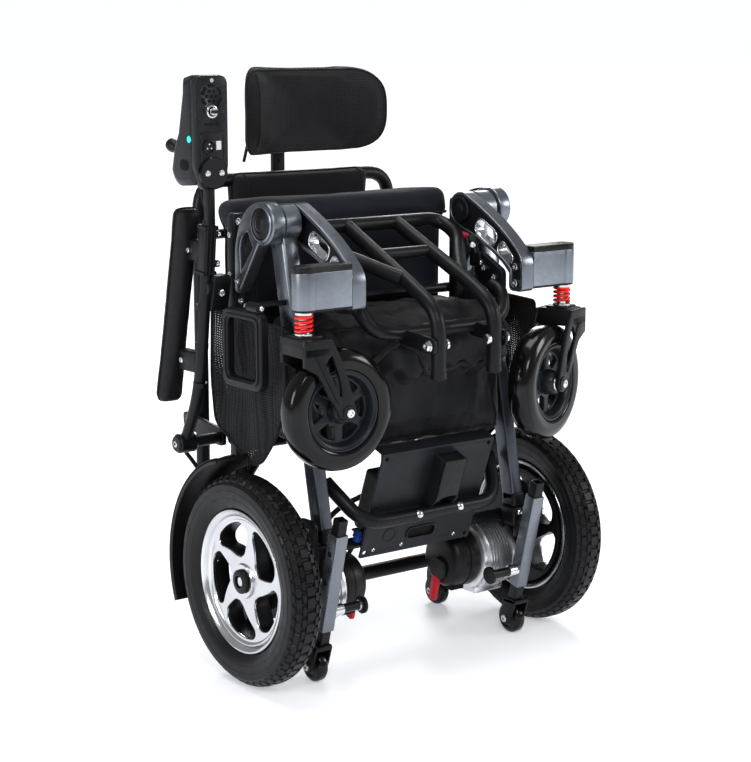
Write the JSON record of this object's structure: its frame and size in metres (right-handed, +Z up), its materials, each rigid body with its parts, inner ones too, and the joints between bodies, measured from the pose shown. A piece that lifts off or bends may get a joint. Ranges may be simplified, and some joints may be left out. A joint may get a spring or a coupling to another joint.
{
  "type": "folding power wheelchair",
  "caption": "Folding electric wheelchair, folded upright: sprung casters, geared drive wheels, fold-away footrest, joystick armrest, padded seat, back and headrest.",
  "frame": {"origin": "on the floor, below the middle of the folded chair's length and width", "axes": "+Z up, -Y towards the front of the chair, -X towards the user's right hand"},
  "size_m": [0.616, 0.513, 0.906],
  "materials": {
    "cast_grey": "satin metallic grey",
    "powder_black": "fine textured satin black powder coat",
    "powder_grey": "dark blue-grey textured powder coat",
    "polished_alloy": "polished cast aluminium",
    "motor_silver": "bead-blasted die-cast aluminium",
    "drive_rubber": "matt tread rubber",
    "caster_rubber": "smooth glossy black rubber",
    "caster_grey": "dark grey moulded nylon",
    "black_plastic": "fine grained black plastic",
    "joystick_grey": "satin charcoal plastic",
    "spring_red": "gloss red enamel",
    "lever_red": "moulded red plastic",
    "seat_fabric": "navy-black woven polyester",
    "back_fabric": "smooth black neoprene-like cloth",
    "bag_fabric": "black nylon bag cloth",
    "mesh_fabric": "black spacer mesh",
    "arm_vinyl": "matt black moulded foam skin",
    "battery_black": "matt battery case",
    "key_steel": "chromed steel"
  },
  "bodies": {
    "front_frame": {"right_front_arm": "cast_grey", "left_front_arm": "cast_grey", "right_caster_housing": "cast_grey", "left_caster_housing": "cast_grey", "front_cross_tube": "powder_black"},
    "footrest": {"footrest_frame": "powder_black"},
    "rear_frame": {"right_strut": "cast_grey", "left_strut": "cast_grey", "base_frame": "powder_black", "controller_plate": "powder_grey", "battery_pack": "battery_black", "bumper_tube": "powder_black", "right_drive_motor": "motor_silver", "left_drive_motor": "motor_silver", "right_fender": "black_plastic", "left_fender": "black_plastic", "right_anti_tip_sleeve": "cast_grey", "left_anti_tip_sleeve": "cast_grey"},
    "seat": {"right_seat_casting": "cast_grey", "left_seat_casting": "cast_grey", "seat_frame": "powder_black", "seat_cushion": "seat_fabric", "under_seat_bag": "bag_fabric"},
    "backrest": {"back_frame": "powder_black", "back_pad": "back_fabric"},
    "headrest_post": {"headrest_post": "powder_black"},
    "headrest": {"headrest_pad": "mesh_fabric"},
    "right_armrest": {"right_armrest_frame": "powder_black", "right_armrest_pad": "arm_vinyl", "right_side_panel": "mesh_fabric", "joystick_housing": "joystick_grey"},
    "left_armrest": {"left_armrest_frame": "powder_black", "left_armrest_pad": "arm_vinyl", "left_side_panel": "mesh_fabric"},
    "joystick_gimbal": {"joystick_gimbal": "powder_black"},
    "joystick": {"joystick_lever": "black_plastic"},
    "power_key": {"power_key": "key_steel"},
    "side_handle": {"side_handle": "black_plastic"},
    "right_seat_stay": {"right_seat_stay": "powder_black"},
    "right_suspension": {"right_caster_spring": "spring_red"},
    "right_caster_fork": {"right_caster_fork": "powder_black"},
    "right_caster_wheel": {"right_caster_tyre": "caster_rubber", "right_caster_rim": "caster_grey"},
    "right_drive_wheel": {"right_drive_tyre": "drive_rubber", "right_drive_rim": "polished_alloy"},
    "right_clutch_lever": {"right_clutch_lever": "lever_red"},
    "right_anti_tip_tube": {"right_anti_tip_tube": "powder_black"},
    "right_anti_tip_wheel": {"right_anti_tip_wheel": "caster_rubber"},
    "right_transport_wheel": {"right_transport_wheel": "caster_rubber"},
    "left_seat_stay": {"left_seat_stay": "powder_black"},
    "left_suspension": {"left_caster_spring": "spring_red"},
    "left_caster_fork": {"left_caster_fork": "powder_black"},
    "left_caster_wheel": {"left_caster_tyre": "caster_rubber", "left_caster_rim": "caster_grey"},
    "left_drive_wheel": {"left_drive_tyre": "drive_rubber", "left_drive_rim": "polished_alloy"},
    "left_clutch_lever": {"left_clutch_lever": "lever_red"},
    "left_anti_tip_tube": {"left_anti_tip_tube": "powder_black"},
    "left_anti_tip_wheel": {"left_anti_tip_wheel": "caster_rubber"},
    "left_transport_wheel": {"left_transport_wheel": "caster_rubber"}
  },
  "joints": [
    {"name": "fold", "type": "hinge", "parent": "front_frame", "child": "rear_frame", "pos_m": [0, -0.0475, 0.683], "axis": [1, 0, 0], "range_deg": [0, 70]},
    {"name": "seat_fold", "type": "hinge", "parent": "front_frame", "child": "seat", "pos_m": [0, -0.0475, 0.683], "axis": [1, 0, 0], "range_deg": [0, 86]},
    {"name": "backrest_fold", "type": "hinge", "parent": "seat", "child": "backrest", "pos_m": [0, 0.1125, 0.235], "axis": [1, 0, 0], "range_deg": [-96, 0]},
    {"name": "right_armrest_fold", "type": "hinge", "parent": "backrest", "child": "right_armrest", "pos_m": [-0.28, 0.0935, 0.338], "axis": [1, 0, 0], "range_deg": [0, 85]},
    {"name": "right_stay_swing", "type": "hinge", "parent": "rear_frame", "child": "right_seat_stay", "pos_m": [-0.201, -0.1035, 0.443], "axis": [1, 0, 0], "range_deg": [0, 20]},
    {"name": "right_suspension_travel", "type": "slide", "parent": "front_frame", "child": "right_suspension", "axis": [0, 0, 1], "range_m": [0, 0.009], "stiffness_N_per_m": 20000, "deforming": ["right_caster_spring"]},
    {"name": "right_caster_swivel", "type": "hinge", "parent": "right_suspension", "child": "right_caster_fork", "pos_m": [-0.247, -0.1805, 0.537], "axis": [0, 0, 1], "range_deg": [-178, 2]},
    {"name": "right_caster_spin", "type": "hinge", "parent": "right_caster_fork", "child": "right_caster_wheel", "pos_m": [-0.19203, -0.18242, 0.424], "axis": [0.0349, 0.9994, 0], "continuous": true},
    {"name": "right_drive_spin", "type": "hinge", "parent": "rear_frame", "child": "right_drive_wheel", "pos_m": [-0.276, -0.0775, 0.159], "axis": [1, 0, 0], "continuous": true},
    {"name": "right_clutch_release", "type": "hinge", "parent": "rear_frame", "child": "right_clutch_lever", "pos_m": [-0.083, -0.0775, 0.127], "axis": [1, 0, 0], "range_deg": [0, 40]},
    {"name": "right_anti_tip_slide", "type": "slide", "parent": "rear_frame", "child": "right_anti_tip_tube", "axis": [0, 0.2396, -0.9709], "range_m": [0, 0.04]},
    {"name": "right_anti_tip_spin", "type": "hinge", "parent": "right_anti_tip_tube", "child": "right_anti_tip_wheel", "pos_m": [-0.196, -0.1305, 0.025], "axis": [1, 0, 0], "continuous": true},
    {"name": "right_transport_spin", "type": "hinge", "parent": "rear_frame", "child": "right_transport_wheel", "pos_m": [-0.196, 0.0625, 0.025], "axis": [1, 0, 0], "continuous": true},
    {"name": "left_armrest_fold", "type": "hinge", "parent": "backrest", "child": "left_armrest", "pos_m": [0.28, 0.0935, 0.338], "axis": [1, 0, 0], "range_deg": [0, 85]},
    {"name": "left_stay_swing", "type": "hinge", "parent": "rear_frame", "child": "left_seat_stay", "pos_m": [0.201, -0.1035, 0.443], "axis": [1, 0, 0], "range_deg": [0, 20]},
    {"name": "left_suspension_travel", "type": "slide", "parent": "front_frame", "child": "left_suspension", "axis": [0, 0, 1], "range_m": [0, 0.009], "stiffness_N_per_m": 20000, "deforming": ["left_caster_spring"]},
    {"name": "left_caster_swivel", "type": "hinge", "parent": "left_suspension", "child": "left_caster_fork", "pos_m": [0.247, -0.1805, 0.537], "axis": [0, 0, 1], "range_deg": [-8, 150]},
    {"name": "left_caster_spin", "type": "hinge", "parent": "left_caster_fork", "child": "left_caster_wheel", "pos_m": [0.19532, -0.19931, 0.424], "axis": [0.342, -0.9397, 0], "continuous": true},
    {"name": "left_drive_spin", "type": "hinge", "parent": "rear_frame", "child": "left_drive_wheel", "pos_m": [0.276, -0.0775, 0.159], "axis": [1, 0, 0], "continuous": true},
    {"name": "left_clutch_release", "type": "hinge", "parent": "rear_frame", "child": "left_clutch_lever", "pos_m": [0.083, -0.0775, 0.127], "axis": [1, 0, 0], "range_deg": [0, 40]},
    {"name": "left_anti_tip_slide", "type": "slide", "parent": "rear_frame", "child": "left_anti_tip_tube", "axis": [0, 0.2396, -0.9709], "range_m": [0, 0.04]},
    {"name": "left_anti_tip_spin", "type": "hinge", "parent": "left_anti_tip_tube", "child": "left_anti_tip_wheel", "pos_m": [0.196, -0.1305, 0.025], "axis": [1, 0, 0], "continuous": true},
    {"name": "left_transport_spin", "type": "hinge", "parent": "rear_frame", "child": "left_transport_wheel", "pos_m": [0.196, 0.0625, 0.025], "axis": [1, 0, 0], "continuous": true},
    {"name": "footrest_fold", "type": "hinge", "parent": "front_frame", "child": "footrest", "pos_m": [0, -0.2445, 0.512], "axis": [1, 0, 0], "range_deg": [0, 156]},
    {"name": "headrest_height", "type": "slide", "parent": "backrest", "child": "headrest_post", "axis": [0, 0, 1], "range_m": [0, 0.08]},
    {"name": "headrest_tilt", "type": "hinge", "parent": "headrest_post", "child": "headrest", "pos_m": [0, 0.2445, 0.822], "axis": [1, 0, 0], "range_deg": [-15, 10]},
    {"name": "joystick_lean_side", "type": "hinge", "parent": "right_armrest", "child": "joystick_gimbal", "pos_m": [-0.28, 0.0745, 0.778], "axis": [0, -0.342, 0.9397], "range_deg": [-12, 12], "stiffness_Nm_per_rad": 0.4},
    {"name": "joystick_lean_forward", "type": "hinge", "parent": "joystick_gimbal", "child": "joystick", "pos_m": [-0.28, 0.0745, 0.778], "axis": [1, 0, 0], "range_deg": [-12, 12], "stiffness_Nm_per_rad": 0.4},
    {"name": "power_key_turn", "type": "hinge", "parent": "right_armrest", "child": "power_key", "pos_m": [-0.28, -0.0025, 0.846], "axis": [0, 1, 0], "range_deg": [0, 90]},
    {"name": "side_handle_swing", "type": "hinge", "parent": "rear_frame", "child": "side_handle", "pos_m": [-0.269, -0.0775, 0.568], "axis": [0, 1, 0], "range_deg": [0, 80]}
  ],
  "couplings": [
    {"joint": "seat_fold", "follows": "fold", "ratio": 1.2286},
    {"joint": "backrest_fold", "follows": "fold", "ratio": -1.3714},
    {"joint": "right_armrest_fold", "follows": "fold", "ratio": 1.2143},
    {"joint": "right_stay_swing", "follows": "fold", "ratio": 0.28571},
    {"joint": "left_armrest_fold", "follows": "fold", "ratio": 1.2143},
    {"joint": "left_stay_swing", "follows": "fold", "ratio": 0.28571}
  ]
}
